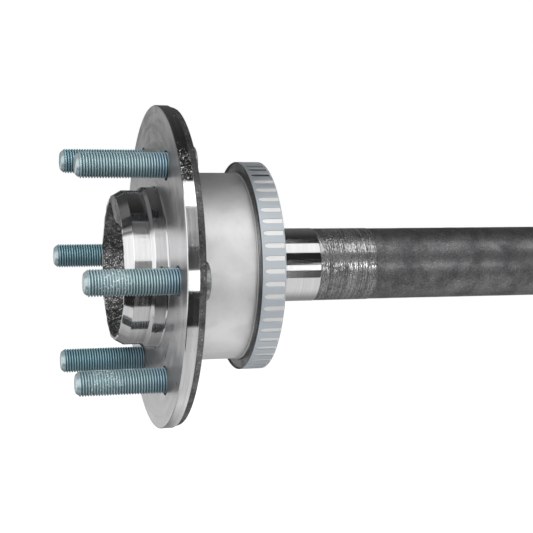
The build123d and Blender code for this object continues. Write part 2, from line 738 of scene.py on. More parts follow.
@dataclass(frozen=True)
class RoughTurnedSteel:
    """The dark stretch behind the journal: forging skin with broken bright tool rings."""

    name: str = "rough turned steel"
    dark: Colour = (0.075, 0.075, 0.077)
    light: Colour = (0.2, 0.2, 0.202)
    bright: Colour = grey(0.56)
    bright_share: float = 0.9
    metallic: float = 0.9
    roughness: float = 0.3
    dark_dullness: float = 0.14
    dash_polish: float = 0.11
    marks_per_mm: float = 1.7
    depth: float = 0.008
    blotch: float = 160.0
    grain: float = 1300.0
    smudge_size: float = 75.0
    dash: tuple[float, float, float] = (2300.0, 700.0, 700.0)
    dash_range: Range = (0.475, 0.615)
    shade_start_z: float = -13.0       # painted shade: below this height the bright dashes are fainter, as less light falls there
    shaded_dash_share: float = 0.4

    def build(self, effects: Effects) -> Material:
        """Build the material.

        Args:
            effects: The shared shader groups.

        Returns:
            The finished material.
        """
        material, wires, shader = new_material(self.name)
        marks = wires.group(effects.tool_marks, per_millimetre=self.marks_per_mm)["Height"]
        tone = wires.group(effects.forge_scale, blotch=self.blotch, grain=self.grain)["Tone"]
        patches = wires.group(effects.smudges, size=self.smudge_size)["Patches"]
        broken = wires.noise(wires.stretch(wires.place(), self.dash), 1.0, 3.0, 0.6)
        rubbed = wires.math("MULTIPLY_ADD", patches, 0.05, wires.times(marks, 0.45))
        rubbed = wires.math("MULTIPLY_ADD", broken, 0.55, rubbed)
        # painted shade: the bright dashes fade on the lower side
        lower = wires.fit(wires.height(), self.shade_start_z * MM, 0.0, self.shaded_dash_share, 1.0)
        dashes = wires.times(wires.fit(rubbed, *self.dash_range), lower)
        base = wires.blend(tone, self.dark, self.light)
        wires.feed(shader, {
            "Base Color": wires.blend(wires.times(dashes, self.bright_share), base, self.bright),
            "Metallic": self.metallic,
            "Roughness": wires.run(dashes, self.roughness + self.dark_dullness,
                                   self.roughness - self.dash_polish),
            "Normal": wires.bump(marks, self.depth)})
        return material


@dataclass(frozen=True)
class SatinSteel:
    """Drawn sheet steel with a fine satin surface and faint smudges."""

    name: str = "satin sleeve steel"
    tone: Colour = grey(0.86)
    smudge: Colour = (0.78, 0.78, 0.782)
    smudge_size: float = 70.0
    roughness: float = 0.49
    smudge_roughness: float = 0.09
    marks_per_mm: float = 3.0
    grain: float = 2600.0
    depth: float = 0.006

    def build(self, effects: Effects) -> Material:
        """Build the material.

        Args:
            effects: The shared shader groups.

        Returns:
            The finished material.
        """
        material, wires, shader = new_material(self.name)
        patches = wires.group(effects.smudges, size=self.smudge_size)["Patches"]
        marks = wires.group(effects.tool_marks, per_millimetre=self.marks_per_mm)["Height"]
        grain = wires.noise(wires.place(), self.grain, 2.0)
        share = wires.plus(wires.times(patches, 0.7), wires.times(grain, 0.3))
        height = wires.plus(wires.times(grain, 0.7), wires.times(marks, 0.5))
        wires.feed(shader, {
            "Base Color": wires.blend(share, self.tone, self.smudge),
            "Metallic": 1.0,
            "Roughness": wires.run(patches, self.roughness, self.roughness + self.smudge_roughness),
            "Normal": wires.bump(height, self.depth)})
        return material


@dataclass(frozen=True)
class PlatedSteel:
    """Zinc plate with a faint bloom, bluish or cream, with painted shade above a set height."""

    name: str
    tone: Colour = (0.53, 0.58, 0.625)
    bloom: Colour = (0.62, 0.66, 0.695)
    bloom_size: float = 110.0
    metallic: float = 0.85
    roughness: float = 0.5
    bloom_roughness: float = 0.1
    grain: float = 1800.0
    depth: float = 0.006
    top_shade_tone: Colour = grey(0.1)
    top_shade_above: float = 100.0    # painted shade: above this height the colour turns dark, for the windows at the top that lie in shade

    def build(self, effects: Effects) -> Material:
        """Build the material.

        Args:
            effects: The shared shader groups.

        Returns:
            The finished material.
        """
        material, wires, shader = new_material(self.name)
        patches = wires.group(effects.smudges, size=self.bloom_size)["Patches"]
        grain = wires.noise(wires.place(), self.grain, 3.0)
        share = wires.math("MULTIPLY_ADD", grain, 0.4, wires.times(patches, 0.6))
        # painted shade: high up, the colour is blended to a dark grey
        shaded_top = wires.fit(wires.height(), (self.top_shade_above - 1) * MM, self.top_shade_above * MM)
        colour = wires.blend(share, self.tone, self.bloom)
        wires.feed(shader, {
            "Base Color": wires.blend(shaded_top, colour, self.top_shade_tone),
            "Metallic": self.metallic,
            "Roughness": wires.run(patches, self.roughness, self.roughness + self.bloom_roughness),
            "Normal": wires.bump(grain, self.depth)})
        return material


@dataclass(frozen=True)
class StudCoating:
    """Blue-green dip coating on the studs, scuffed on the crests. Its colour holds painted shade in
    the thread roots, on the lower side and towards the far side, and a painted reflection where it
    is seen mirrored.
    """

    tip_x: float
    name: str = "stud coating"
    shade_tone: Colour = (0.11, 0.20, 0.23)
    deepest_shade_tone: Colour = (0.04, 0.09, 0.12)
    tone: Colour = (0.52, 0.69, 0.72)
    blue: Colour = (0.40, 0.60, 0.72)
    far_shade_tone: Colour = (0.30, 0.55, 0.64)
    bare: Colour = (0.95, 0.98, 0.98)
    tip_tone: Colour = (0.45, 0.54, 0.56)
    tip_w: float = 3.4
    metallic: float = 0.42
    bare_metallic: float = 0.1
    roughness: Range = (0.28, 0.45)
    tip_polish: float = 0.1
    grain: float = 1500.0
    depth: float = 0.003
    blue_x: Range = (-14.0, 1.0)       # the coating turns bluer towards the flange, and the painted shade in its roots darkens there
    far_shade_y: Range = (-66.0, 34.0)       # painted shade: darker and bluer towards the far side, where less light reaches
    far_shade_share: float = 0.85
    lower_side_shade_share: float = 0.62
    scuff_x: Range = (-41.0, -26.0)
    scuff_fades: Range = (4.0, 5.0)
    scuff_y: Range = (-12.0, -30.0)
    scuff_z: Range = (30.0, 15.0)
    scuff_root_share: float = 0.35
    rubs: Rubs = Rubs(fineness=820.0, drift=230.0, rarity=0.2, strength=3.0)
    mirror_grey_share: float = 0.85           # painted reflection: how grey the coating turns where it is seen mirrored
    mirror_grey_darkening: float = 0.35

    def colour(self, wires: Wiring, tip: Socket, near: Socket) -> Socket:
        """Mix the coating's colour, with its painted shade, without its scuffs.

        Args:
            wires: The material's wiring.
            tip: 1 on the bare tip.
            near: 1 where the nearest studs are scuffed.

        Returns:
            The colour.
        """
        x, y, _ = wires.axes(wires.place())
        bluer = wires.fit(wires.math("DIVIDE", x, MM), *self.blue_x)
        # painted shade: the studs on the far side are coloured darker
        far_shading = wires.times(wires.fit(y, *(v * MM for v in self.far_shade_y)), self.far_shade_share)
        crest, under = (wires.node("Attribute", attribute_name=mark.value).outputs["Fac"]
                        for mark in StudMark)
        hue = wires.blend(bluer, wires.blend(far_shading, self.tone, self.far_shade_tone), self.blue)
        # painted shade: the thread roots are coloured dark, darkest near the flange and on the far
        # side, less so where the coating is scuffed
        root = wires.blend(wires.math("MAXIMUM", bluer, far_shading), self.shade_tone, self.deepest_shade_tone)
        root = wires.blend(wires.times(near, self.scuff_root_share), root, hue)
        coat = wires.blend(wires.fit(crest, 0.05, 0.85), root, hue)
        coat = wires.blend(tip, coat, self.tip_tone)
        # painted shade: the lower side of each stud is darkened
        return wires.blend(wires.run(under, 0.0, self.lower_side_shade_share), coat, self.shade_tone)

    def build(self, effects: Effects) -> Material:
        """Build the material.

        Args:
            effects: The shared shader groups.

        Returns:
            The finished material.
        """
        material, wires, shader = new_material(self.name)
        x, y, z = wires.axes(wires.place())
        x = wires.math("DIVIDE", x, MM)
        near = wires.times(wires.between(x, *self.scuff_x, *self.scuff_fades),
                           wires.fit(y, *(v * MM for v in self.scuff_y)),
                           wires.fit(z, *(v * MM for v in self.scuff_z)))
        rubs = wires.times(near, self.rubs.spots(wires, effects))
        rubs = wires.math("MINIMUM", rubs, 1.0)
        tip = wires.fit(x, self.tip_x + self.tip_w, self.tip_x + self.tip_w * 0.4)
        colour = wires.blend(rubs, self.colour(wires, tip, near), self.bare)
        # painted reflection: seen mirrored in other surfaces, the coating is coloured a darker grey
        level = wires.node("RGBToBW", {0: colour}).outputs[0]
        dull = wires.blend(self.mirror_grey_darkening, level, grey(0.0))
        mirrored = wires.times(wires.node("LightPath").outputs["Is Glossy Ray"], self.mirror_grey_share)
        grain = wires.noise(wires.place(), self.grain, 3.0, 0.7)
        rough = wires.fit(grain, 0.3, 0.7, *self.roughness)
        wires.feed(shader, {
            "Base Color": wires.blend(mirrored, colour, dull),
            "Metallic": wires.run(rubs, self.metallic, self.bare_metallic),
            "Roughness": wires.math("MULTIPLY_ADD", tip, -self.tip_polish, rough),
            "Normal": wires.bump(grain, self.depth)})
        return material


Finish = TurnedSteel | ForgedSteel | RoughTurnedSteel | SatinSteel | PlatedSteel | StudCoating


def dress(piece: Piece, effects: Effects, finishes: dict[Surface, Finish],
          surface_at: Callable[[float, float, float], Surface]) -> None:
    """Build a piece's materials and give each face the one of its surface.

    Args:
        piece: The mesh.
        effects: The shared shader groups.
        finishes: The finish of each of the piece's surfaces.
        surface_at: Says which surface a face belongs to, by its place along the axle, its
            radius and how far along the axle it looks.
    """
    for finish in finishes.values():
        piece.data.materials.append(finish.build(effects))
    order = list(finishes)
    for face in piece.data.polygons:
        x, r = station(face.center)
        face.material_index = order.index(surface_at(x, r, face.normal.x))


# Sub-assemblies


@dataclass
class AxleForging:
    """The forging: pilot nose, wheel flange, journal, bar, spline and button."""

    facets: int = 204
    # Wheel flange
    flange_rim_w: float = 6.35
    flange_t: float = 10.1
    rim_chamfer: float = 0.35
    rim_back_chamfer: float = 0.45
    edge_drop: float = 1.4
    face_relief: float = 0.7
    face_relief_w: float = 0.5
    # Nose and its hollow
    nose_mouth_r: float = 40.5
    mouth_chamfer: float = 1.3
    lip_w: float = 1.6
    lip_slope_w: float = 0.5
    lip_bulge: float = 11.0
    lip_depth: float = 7.0
    lip_from: float = 32.0     # degrees up from the near side
    lip_to: float = 99.0
    wheel_pilot_r: float = 43.3
    wheel_pilot_from: float = -18.2
    wheel_pilot_to: float = -8.8
    disc_pilot_r: float = 45.1
    disc_pilot_from: float = -7.1
    hollow_floor: float = 3.3
    hollow_floor_r: float = 29.0
    hollow_plain_r: float = 12.0
    # Boss, journal and bar
    boss_r: float = 51.3
    boss_end: float = 23.6
    boss_fillet: float = 11.0
    journal_r: float = 21.25
    journal_to: float = 93.2
    journal_chamfer: float = 0.3
    turned_r: float = 21.07
    turned_to: float = 127.6
    turned_run_out: float = 0.5
    bar_start_r: float = 20.88
    bar_r: float = 21.0
    bar_full_at: float = 205.0
    bar_to: float = 784.3
    # Spline, groove and button
    spline_from: float = 802.3
    spline_to: float = 868.3
    spline_r: float = 18.52
    spline_root_r: float = 17.25
    spline_root_w: float = 0.18
    spline_lead_w: float = 1.5
    spline_chamfer: float = 1.2
    spline_teeth: int = 34
    neck_drop: float = 0.1
    groove_r: float = 14.0
    button_from: float = 873.5
    button_r: float = 16.85
    centre_r: float = 4.0
    centre_depth: float = 6.9
    # Stud holes
    stud_circle_r: float = 67.5
    stud_turn: float = 7.7
    stud_count: int = 6
    hole_r: float = 7.42
    hole_mouth_r: float = 8.3
    hole_mouth_depth: float = 1.3
    hole_facets: int = 48
    # The forging's uneven skin
    lump_size: float = 6.0
    lump_height: float = 1.3
    lump_level: float = 0.55
    hollow_lumps: float = 1.0
    edge_lumps: float = 0.35
    bar_lumps: float = 0.12

    def __post_init__(self) -> None:
        """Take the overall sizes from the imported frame."""
        self.nose_tip, self.end, self.flange_r = extent("axle_shaft")

    def outline(self) -> Outline:
        """Draw half the section, from the floor of the hollow round to the far end.

        Returns:
            The outline.
        """
        lip_r = self.nose_mouth_r - self.lip_w
        line = Outline().to(self.hollow_floor, 0)
        line.to(self.hollow_floor, self.hollow_floor_r, edge=8.0, step=4.0)
        line.to(self.nose_tip + self.mouth_chamfer, lip_r - self.lip_slope_w, edge=0.4, step=1.0)
        line.to(self.nose_tip, lip_r, edge=0.2, step=0.5)
        line.to(self.nose_tip, self.nose_mouth_r, edge=0.12)
        line.to(self.wheel_pilot_from, self.wheel_pilot_r, edge=0.2)
        line.to(self.wheel_pilot_to, self.wheel_pilot_r, edge=0.2)
        line.to(self.disc_pilot_from, self.disc_pilot_r, edge=0.2)
        line.to(-self.face_relief, self.disc_pilot_r, edge=0.15)
        line.to(0, self.disc_pilot_r + self.face_relief_w, edge=0.15)
        line.to(0, self.flange_r - self.rim_chamfer, edge=0.08, step=12.0)
        line.to(self.rim_chamfer, self.flange_r, edge=0.08)
        line.to(self.flange_rim_w, self.flange_r, edge=0.1)
        line.to(self.flange_rim_w + self.rim_back_chamfer, self.flange_r - self.rim_back_chamfer,
                edge=0.1)
        line.to(self.flange_t, self.flange_r - self.edge_drop, edge=0.4, step=0.9)
        line.to(self.flange_t, self.boss_r, step=4.0).to(self.boss_end, self.boss_r, edge=0.8)
        line.to(self.boss_end, self.journal_r, edge=self.boss_fillet, step=6.0)
        line.to(self.journal_to - self.journal_chamfer, self.journal_r, edge=0.15)
        line.to(self.journal_to, self.turned_r, edge=0.1)
        line.to(self.turned_to - self.turned_run_out, self.turned_r, edge=0.15, step=5.0)
        line.to(self.turned_to, self.bar_start_r, edge=0.2)
        line.to(self.bar_full_at, self.bar_r, step=5.0)
        line.to(self.bar_to, self.bar_r, edge=3.0, step=8.0)
        line.to(self.spline_from, self.spline_root_r - self.neck_drop, edge=2.0, step=4.0)
        line.to(self.spline_from + self.spline_lead_w, self.spline_r, edge=0.2)
        line.to(self.spline_to - self.spline_chamfer, self.spline_r, edge=0.2)
        line.to(self.spline_to, self.spline_r - self.spline_chamfer, edge=0.1)
        line.to(self.spline_to, self.groove_r, edge=0.5)
        line.to(self.button_from, self.groove_r, edge=0.5)
        line.to(self.button_from, self.button_r, edge=0.4).to(self.end, self.button_r, edge=0.9)
        line.to(self.end, self.centre_r, edge=0.2).to(self.end - self.centre_depth, 0)
        return line

    def drill_stud_holes(self, piece: Piece) -> None:
        """Cut the stud holes with their mouths countersunk at the wheel face.

        Args:
            piece: The turned forging.
        """
        cut = Outline().to(-CUT_PAST, 0).to(-CUT_PAST, self.hole_mouth_r)
        cut.to(0, self.hole_mouth_r).to(self.hole_mouth_depth, self.hole_r)
        cut.to(self.flange_t + CUT_PAST, self.hole_r).to(self.flange_t + CUT_PAST, 0)
        drill = lathe("drill", cut, self.hole_facets)
        for index in range(self.stud_count):
            turn = math.radians(self.stud_turn + index * 360 / self.stud_count)
            centre = Vector((0, math.cos(turn), math.sin(turn))) * self.stud_circle_r * MM
            copy = place_copy(drill, f"drill_{index}", Matrix.Translation(centre))
            combine(piece, copy, "DIFFERENCE")
        bpy.data.objects.remove(drill, do_unlink=True)

    def cut_spline(self, piece: Piece) -> None:
        """Cut the gaps between the spline's teeth, with flanks at 45 degrees.

        Args:
            piece: The turned forging.
        """
        root, reach = self.spline_root_r, self.spline_r + CUT_PAST
        start, end = self.spline_from - CUT_PAST, self.spline_to + CUT_PAST
        half, depth = self.spline_root_w / 2, reach - root
        top = half + depth
        corners = ((top, reach), (half, root), (-half, root), (-top, reach))
        hob = draw_line("hob", [Vector((start, side, r)) for side, r in corners])
        bpy.ops.mesh.edge_face_add()
        move = {"value": ((end - start) * MM, 0, 0)}
        bpy.ops.mesh.extrude_region_move(TRANSFORM_OT_translate=move)
        bpy.ops.mesh.select_all(action="SELECT")
        bpy.ops.mesh.normals_make_consistent(inside=False)
        bpy.ops.object.mode_set(mode="OBJECT")
        gaps = []
        for index in range(self.spline_teeth):
            turn = Matrix.Rotation(2 * math.pi * index / self.spline_teeth, 4, "X")
            gaps.append(place_copy(hob, f"gap_{index}", turn))
        bpy.data.objects.remove(hob, do_unlink=True)
        select_only(gaps[0])
        for gap in gaps:
            gap.select_set(True)
        bpy.ops.object.join()
        combine(piece, gaps[0], "DIFFERENCE")

    def thicken_lip(self, piece: Piece) -> None:
        """Draw the mouth of the forged hollow inwards on one side, where its lip is thicker.

        Args:
            piece: The turned forging.
        """
        for vertex in piece.data.vertices:
            x, r = station(vertex.co)
            depth = x - self.nose_tip
            if depth < self.lip_depth and r < self.nose_mouth_r - 1.0:
                angle = math.degrees(math.atan2(vertex.co.z, -vertex.co.y))
                share = (angle - self.lip_from) / (self.lip_to - self.lip_from)
                push = self.lip_bulge * math.sin(math.pi * min(max(share, 0.0), 1.0))
                push *= 1.0 - (depth / self.lip_depth) ** 2
                vertex.co.y *= 1.0 - push / r
                vertex.co.z *= 1.0 - push / r

    def lumps_at(self, x: float, r: float) -> float:
        """Say how uneven the forging is at a place, a little clear of the machined edges.

        Args:
            x: Place along the axle, in millimetres.
            r: Radius there, in millimetres.

        Returns:
            0 where it is machined, and up to 1 where it is roughest.
        """
        if x < self.hollow_floor + 0.1 and self.hollow_plain_r < r < self.nose_mouth_r + 0.3:
            return self.hollow_lumps
        if self.flange_rim_w + 0.3 < x < self.flange_t - 0.1 and r > self.flange_r - 3.5:
            return self.edge_lumps
        if self.turned_to + 0.5 < x < self.bar_to + 10.0 and r > self.spline_root_r + 0.5:
            return self.bar_lumps
        return 0.0

    def roughen(self, piece: Piece) -> None:
        """Give the forged surfaces their uneven skin.

        Args:
            piece: The turned and drilled forging.
        """
        group = piece.vertex_groups.new(name="forged")
        for vertex in piece.data.vertices:
            lumps = self.lumps_at(*station(vertex.co))
            if lumps:
                group.add([vertex.index], lumps, "REPLACE")
        clouds = bpy.data.textures.new("forging lumps", "CLOUDS")
        clouds.noise_scale = self.lump_size * MM
        clouds.noise_depth = 3
        apply_modifier(piece, "DISPLACE", texture=clouds, texture_coords="OBJECT",
                       vertex_group=group.name, strength=self.lump_height * MM,
                       mid_level=self.lump_level)

    def finishes(self) -> dict[Surface, Finish]:
        """Say which finish each surface of the forging has.

        Returns:
            The finishes, by surface.
        """
        return {
            Surface.LANDS: TurnedSteel(
                "turned lands", worn_tone=(0.50, 0.50, 0.505), marks_per_mm=4.0,
                roughness=0.07, roughness_spread=0.07, mark_depth=0.0003, nick_share=0.25),
            Surface.WHEEL_FACE: TurnedSteel(
                "turned wheel face", grain=Grain.ACROSS_FACE, worn_tone=(0.49, 0.49, 0.495),
                marks_per_mm=3.0, roughness=0.26, roughness_spread=0.14, mark_depth=0.0004,
                nick_share=0.2),
            Surface.RIM: TurnedSteel(
                "turned rim", marks_per_mm=3.0, roughness=0.05, roughness_spread=0.06,
                mark_depth=0.0005, nick_share=0.6, scuffs=((40.0, 61.0),)),
            Surface.JOURNAL: TurnedSteel(
                "ground journal", tone=grey(0.60), worn_tone=grey(0.55), marks_per_mm=9.0,
                roughness=0.065, roughness_spread=0.03, mark_depth=0.0004, nick_share=0.1),
            Surface.SKIN: ForgedSteel("forged skin"),
            # the hollow's white specks are painted glints on its rough skin; towards the top they
            # thin out, painted shade
            Surface.HOLLOW: ForgedSteel(
                "forged hollow", dark=grey(0.03), light=grey(0.15), speck=grey(1.0),
                blotch=480.0, grain=1350.0, depth=0.07, speck_share=1.8, speck_rarity=0.1,
                shaded_top_speck_share=0.06),
            Surface.ROUGH_TURNED: RoughTurnedSteel(),
            Surface.BAR: ForgedSteel(
                "forged bar", dark=(0.08, 0.08, 0.083), light=(0.19, 0.19, 0.193),
                blotch=75.0, grain=1100.0, depth=0.02, speck_share=0.35),
        }

    def surface_at(self, x: float, r: float, facing: float) -> Surface:
        """Say which surface a face belongs to, with the small faces of the rounded edges.

        Args:
            x: Place of the face along the axle, in millimetres.
            r: Its radius, in millimetres.
            facing: How far it looks along the axle, from -1 to 1.

        Returns:
            The surface.
        """
        in_mouth = r < self.nose_mouth_r - 1.0 and x < self.nose_tip + 1.0
        if x > self.turned_to - 0.1:
            return Surface.LANDS if x > self.spline_from else Surface.BAR
        if x > self.journal_to - 0.2:
            return Surface.ROUGH_TURNED
        if x > self.boss_end - 1.0:
            return Surface.JOURNAL
        if x > self.flange_rim_w + 0.05:
            return Surface.SKIN
        if r > self.flange_r - 0.3:
            return Surface.RIM
        if x > 0.02 and self.disc_pilot_r < r < self.flange_r - 1.0:
            return Surface.SKIN    # the stud holes, coloured with the dark skin as painted shade round the stud bases
        if x > -self.face_relief / 2 and r > self.disc_pilot_r:
            return Surface.WHEEL_FACE
        if in_mouth and facing < -0.7:
            return Surface.SKIN
        if r < self.nose_mouth_r - 0.1 and x > self.nose_tip + 0.2:
            return Surface.HOLLOW
        return Surface.LANDS

    def build(self, effects: Effects) -> Piece:
        """Model and dress the forging.

        Args:
            effects: The shared shader groups.

        Returns:
            The finished piece.
        """
        piece = lathe("axle_forging", self.outline(), self.facets)
        self.drill_stud_holes(piece)
        self.cut_spline(piece)
        self.thicken_lip(piece)
        self.roughen(piece)
        dress(piece, effects, self.finishes(), self.surface_at)
        smooth(piece)
        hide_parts("axle_shaft")
        return piece


@dataclass
class WheelStud:
    """One M14 x 1.5 stud: rolled thread, pressed shoulder and round head."""

    facets: int = 48
    pitch: float = 1.5
    crest_r: float = 7.0
    root_r: float = 6.15
    crest_w: float = 0.42
    root_w: float = 0.24
    thread_to: float = 1.9
    thread_merge: float = 0.002
    tip_dome: float = 0.25
    tip_dome_edge: float = 0.1
    tip_flat_r: float = 5.0
    tip_cone_w: float = 2.9
    blank_over: float = 0.1        # the blank is this much larger than the crests
    shoulder_r: float = 7.4
    shoulder_from: float = 1.4
    head_gap: float = 0.02
    head_edge_w: float = 0.5
    head_edge_drop: float = 1.3

    def __post_init__(self) -> None:
        """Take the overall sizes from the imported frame."""
        low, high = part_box("wheel_stud_1")
        self.tip, self.head_back, _ = extent("wheel_stud_1")
        self.head_r = (high.z - low.z) / 2 / MM
        self.flange_back = extent("sensor_sleeve")[0]

    def thread(self) -> Piece:
        """Wind one pitch of thread along the stud and close its ends.

        Returns:
            A threaded bar, longer than the stud's thread at both ends.
        """
        start = self.tip - self.pitch
        half, flank = self.crest_w / 2, (self.pitch - self.crest_w - self.root_w) / 2
        line = Outline(arc_steps=2).to(start, self.crest_r)
        line.to(start + half, self.crest_r, edge=0.09)
        line.to(start + half + flank, self.root_r, edge=0.1)
        line.to(start + self.pitch - half - flank, self.root_r, edge=0.1)
        line.to(start + self.pitch - half, self.crest_r, edge=0.09)
        line.to(start + self.pitch, self.crest_r)
        bar = draw_line("thread", line.points())
        bpy.ops.object.mode_set(mode="OBJECT")
        turns = math.ceil((self.thread_to - self.tip) / self.pitch) + 2
        apply_modifier(bar, "SCREW", axis="X", screw_offset=self.pitch * MM, iterations=turns,
                       steps=self.facets, render_steps=self.facets, use_merge_vertices=True,
                       merge_threshold=self.thread_merge * MM)
        bpy.ops.object.mode_set(mode="EDIT")
        bpy.ops.mesh.select_all(action="SELECT")
        bpy.ops.mesh.remove_doubles(threshold=self.thread_merge * MM)
        bpy.ops.mesh.fill_holes(sides=0)
        bpy.ops.mesh.select_all(action="SELECT")
        bpy.ops.mesh.normals_make_consistent(inside=False)
        bpy.ops.object.mode_set(mode="OBJECT")
        return bar

    def blank(self) -> Piece:
        """Turn the bar that the thread's ends are trimmed to.

        Returns:
            A plain bar with the stud's domed tip.
        """
        over_r = self.crest_r + self.blank_over
        line = Outline().to(self.tip, 0).to(self.tip + self.tip_dome_edge, self.tip_flat_r * 0.7)
        line.to(self.tip + self.tip_dome, self.tip_flat_r, edge=0.9)
        line.to(self.tip + self.tip_cone_w, over_r, edge=0.3)
        line.to(self.thread_to, over_r).to(self.thread_to, 0)
        return lathe("blank", line, self.facets * 2)

    def seat(self) -> Piece:
        """Turn the shoulder and the round head.

        Returns:
            The two, as one solid.
        """
        head_from = self.flange_back + self.head_gap
        line = Outline().to(self.shoulder_from, 0)
        line.to(self.shoulder_from, self.shoulder_r, edge=0.25).to(head_from, self.shoulder_r)
        line.to(head_from, self.head_r, edge=0.3)
        line.to(self.head_back - self.head_edge_w, self.head_r, edge=0.4)
        line.to(self.head_back, self.head_r - self.head_edge_drop, edge=0.6)
        line.to(self.head_back, 0)
        return lathe("seat", line, self.facets * 2)

    def crest_share(self, point: Vector) -> float:
        """Return how near a point lies to the crests, with the stud on the axle's axis."""
        return (station(point)[1] - self.root_r) / (self.crest_r - self.root_r)

    def surface_at(self, x: float, _r: float, _facing: float) -> Surface:
        """Return the surface of a face: thread in front of the flange's back, head behind."""
        return Surface.HEAD if x > self.flange_back else Surface.THREAD

    def build(self, effects: Effects) -> list[Piece]:
        """Model one stud, dress it and copy it to each hole.

        Args:
            effects: The shared shader groups.

        Returns:
            The finished studs.
        """
        stud = self.thread()
        combine(stud, self.blank(), "INTERSECT")
        combine(stud, self.seat(), "UNION")
        store(stud, StudMark.CREST, self.crest_share)
        head = ForgedSteel("stud head skin", dark=(0.16, 0.17, 0.175), light=(0.42, 0.43, 0.43),
                           blotch=220.0, depth=0.05, roughness=0.4)
        finishes = {Surface.THREAD: StudCoating(self.tip), Surface.HEAD: head}
        dress(stud, effects, finishes, self.surface_at)
        smooth(stud, 38.0)
        found = []
        for name in sorted(n for n in bpy.data.objects.keys() if n.startswith("wheel_stud_")):
            low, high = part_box(name)
            centre = (low + high) / 2
            turn = Matrix.Rotation(math.atan2(centre.z, centre.y), 4, "X")
            place = Matrix.Translation((0, centre.y, centre.z)) @ turn
            copy = place_copy(stud, name.replace("wheel", "threaded"), place)
            # painted shade mask: 1 on the lower side of the stud, 0 above its middle
            store(copy, StudMark.UNDERSIDE, lambda point: (centre.z - point.z) / MM / self.crest_r)
            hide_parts(name)
            found.append(copy)
        bpy.data.objects.remove(stud, do_unlink=True)
        return found


@dataclass
class SensorSleeve:
    """The drawn sleeve behind the flange, flared out under the tone ring."""

    facets: int = 216
    wall: float = 2.0
    wall_r: float = 53.3
    seat_recess: float = 1.1      # the seat starts this far behind the ring's front edge
    seat_gap: float = 0.02
    groove_from: float = 2.4      # the groove and the bead start this far before the seat
    groove_bottom: float = 1.9
    groove_depth: float = 0.25
    bead_from: float = 1.3
    bead_h: float = 0.55
    bead_back_h: float = 0.75

    def __post_init__(self) -> None:
        """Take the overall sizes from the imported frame."""
        self.start, self.end, _ = extent("sensor_sleeve")
        ring_start, _, ring_r = extent("tone_ring")
        self.seat_r = ring_r - ToneRing.wall - self.seat_gap
        self.seat_from = ring_start + self.seat_recess

    def outline(self) -> Outline:
        """Draw the wall's section, from the flange out to the seat and back inside.

        Returns:
            The outline.
        """
        inner_r, seat, behind = self.wall_r - self.wall, self.seat_from, self.seat_from + self.wall
        line = Outline().to(self.start, inner_r).to(self.start, self.wall_r, edge=0.4)
        line.to(seat - self.groove_from, self.wall_r, edge=0.3)
        line.to(seat - self.groove_bottom, self.wall_r - self.groove_depth, edge=0.2)
        line.to(seat - self.bead_from, self.wall_r + self.bead_h, edge=0.35)
        line.to(seat, self.wall_r + self.bead_back_h, edge=0.4).to(seat, self.seat_r, edge=0.4)
        line.to(self.end, self.seat_r, edge=0.25).to(self.end, self.seat_r - self.wall, edge=0.25)
        line.to(behind, self.seat_r - self.wall, edge=1.0).to(behind, inner_r, edge=1.2)
        return line.to(self.start, inner_r)

    def surface_at(self, x: float, r: float, _facing: float) -> Surface:
        """Say which surface a face belongs to.

        Args:
            x: Place of the face along the axle, in millimetres.
            r: Its radius, in millimetres.
            _facing: How far it looks along the axle, which doesn't matter here.

        Returns:
            The surface.
        """
        if x > self.seat_from + 0.3 and r > self.seat_r - 0.3:
            return Surface.SEAT
        if x > self.seat_from - 1.6 and r > self.wall_r - 0.1:
            return Surface.THROAT
        return Surface.SLEEVE

    def build(self, effects: Effects) -> Piece:
        """Model and dress the sleeve.

        Args:
            effects: The shared shader groups.

        Returns:
            The finished piece.
        """
        piece = lathe("satin_sleeve", self.outline(), self.facets)
        # painted shade: the seat turns dark above 47.5 mm, in the top windows, which lie in shade
        seat = PlatedSteel("cream seat", tone=(0.86, 0.855, 0.835), bloom=(0.92, 0.915, 0.90),
                           metallic=0.75, top_shade_above=47.5)
        # painted shade: the bead and the step up to the seat are coloured dark grey, for the shade
        # and dark reflection at the foot of the ring
        throat = ForgedSteel("sleeve throat painted shade", dark=grey(0.15), light=grey(0.27), depth=0.01,
                             speck_share=0.1)
        finishes = {Surface.SLEEVE: SatinSteel(), Surface.SEAT: seat, Surface.THROAT: throat}
        dress(piece, effects, finishes, self.surface_at)
        smooth(piece)
        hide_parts("sensor_sleeve")
        return piece


